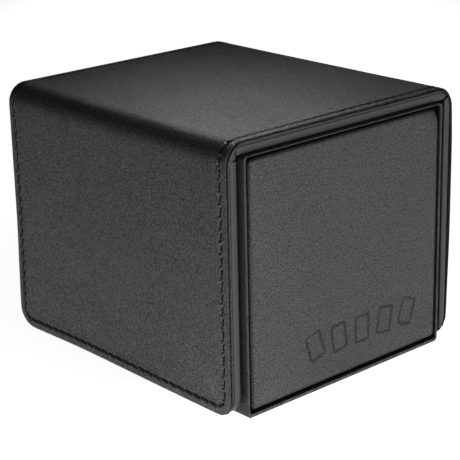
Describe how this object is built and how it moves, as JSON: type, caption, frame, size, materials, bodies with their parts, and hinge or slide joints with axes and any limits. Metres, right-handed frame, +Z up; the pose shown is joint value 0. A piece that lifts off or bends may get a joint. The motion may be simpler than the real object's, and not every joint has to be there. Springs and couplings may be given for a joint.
{
  "type": "card deck box",
  "caption": "Leatherette box for a deck of cards: an open-top tray inside a cover whose lid and magnetic side flap fold over it and open flat.",
  "frame": {"origin": "centre of the bounding box on the surface the box stands on", "axes": "+Z up; -Y towards the front end panel with the embossed cards; -X towards the flap, +X towards the spine"},
  "size_m": [0.09, 0.1024, 0.079],
  "materials": {
    "leatherette": "fine pebble grain, satin",
    "leatherette_backing": "satin",
    "smooth_lining": "smooth matt",
    "microfibre": "short nap",
    "board": "raw grey board",
    "thread": "waxed thread",
    "magnet": "nickel plated"
  },
  "bodies": {
    "tray": {"lid_fold": "leatherette", "spine_board": "board", "spine_lining": "smooth_lining", "spine_cover_skin": "leatherette", "spine_skin_backing": "leatherette_backing", "spine_stitching": "thread", "spine_spacer_board": "board", "tray_floor_board": "board", "tray_flap_side_board": "board", "tray_spine_side_board": "board", "tray_front_end_board": "board", "tray_rear_end_board": "board", "tray_wall_skin": "leatherette", "tray_base_skin": "leatherette", "tray_floor_liner": "microfibre", "tray_flap_side_liner": "microfibre", "tray_spine_side_liner": "microfibre", "tray_front_end_liner": "microfibre", "tray_rear_end_liner": "microfibre", "tray_magnets": "magnet", "front_panel_board": "board", "front_panel_skin": "leatherette", "rear_panel_board": "board", "rear_panel_skin": "leatherette"},
    "lid": {"lid_board": "board", "lid_lining": "smooth_lining", "lid_cover_skin": "leatherette", "lid_skin_backing": "leatherette_backing", "lid_stitching": "thread", "flap_fold": "leatherette"},
    "flap": {"flap_board": "board", "flap_lining": "smooth_lining", "flap_cover_skin": "leatherette", "flap_skin_backing": "leatherette_backing", "flap_stitching": "thread", "flap_magnets": "magnet"}
  },
  "joints": [
    {"name": "lid_hinge", "type": "hinge", "parent": "tray", "child": "lid", "pos_m": [0.04339, 0, 0.07734], "axis": [0, 1, 0], "range_deg": [0, 175], "deforming": ["lid_fold"]},
    {"name": "flap_hinge", "type": "hinge", "parent": "lid", "child": "flap", "pos_m": [-0.04339, 0, 0.07734], "axis": [0, 1, 0], "range_deg": [0, 90], "deforming": ["flap_fold"]}
  ]
}
